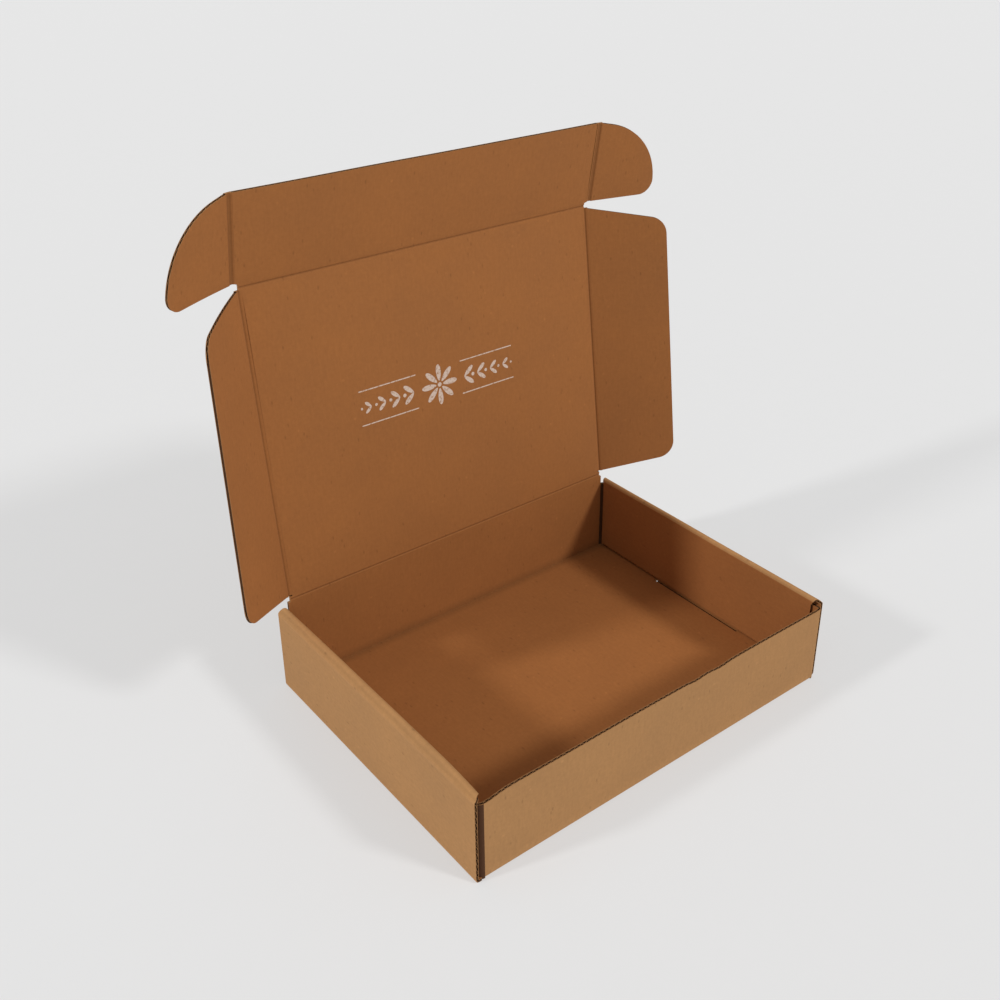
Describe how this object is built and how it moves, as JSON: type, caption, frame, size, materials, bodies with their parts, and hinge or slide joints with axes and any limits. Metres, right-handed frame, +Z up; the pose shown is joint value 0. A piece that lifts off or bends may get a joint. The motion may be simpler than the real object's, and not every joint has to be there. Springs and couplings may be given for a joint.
{
  "type": "corrugated mailer box",
  "caption": "Kraft corrugated roll-end mailer box, lid open, with hinged side flaps, tuck flap and ears.",
  "frame": {"origin": "middle of the tray's underside, between the outer faces of its four walls", "axes": "+Z up, +X along the front wall to the right, +Y from the front wall to the lid's hinge"},
  "size_m": [0.295, 0.1843, 0.2565],
  "materials": {
    "kraft_board": "matte uncoated kraft liner"
  },
  "bodies": {
    "tray": {"tray": "kraft_board"},
    "lid": {"lid": "kraft_board"},
    "left_side_flap": {"left_side_flap": "kraft_board"},
    "right_side_flap": {"right_side_flap": "kraft_board"},
    "tuck_flap": {"tuck_flap": "kraft_board"},
    "left_ear": {"left_ear": "kraft_board"},
    "right_ear": {"right_ear": "kraft_board"}
  },
  "joints": [
    {"name": "lid_hinge", "type": "hinge", "parent": "tray", "child": "lid", "pos_m": [0, 0.081, 0.0514], "axis": [1, 0, 0], "range_deg": [-83, 97]},
    {"name": "left_side_flap_fold", "type": "hinge", "parent": "lid", "child": "left_side_flap", "pos_m": [-0.10345, 0.081, 0.0514], "axis": [0, 0.1219, 0.9925], "range_deg": [-130, 50]},
    {"name": "right_side_flap_fold", "type": "hinge", "parent": "lid", "child": "right_side_flap", "pos_m": [0.10345, 0.081, 0.0514], "axis": [0, -0.1219, -0.9925], "range_deg": [-120, 60]},
    {"name": "tuck_flap_fold", "type": "hinge", "parent": "lid", "child": "tuck_flap", "pos_m": [0, 0.10052, 0.21041], "axis": [1, 0, 0], "range_deg": [-107, 73]},
    {"name": "left_ear_fold", "type": "hinge", "parent": "tuck_flap", "child": "left_ear", "pos_m": [-0.1063, 0.10052, 0.21041], "axis": [0, -0.1736, 0.9848], "range_deg": [-110, 155]},
    {"name": "right_ear_fold", "type": "hinge", "parent": "tuck_flap", "child": "right_ear", "pos_m": [0.1063, 0.10052, 0.21041], "axis": [0, 0.1736, -0.9848], "range_deg": [-101, 164]}
  ]
}
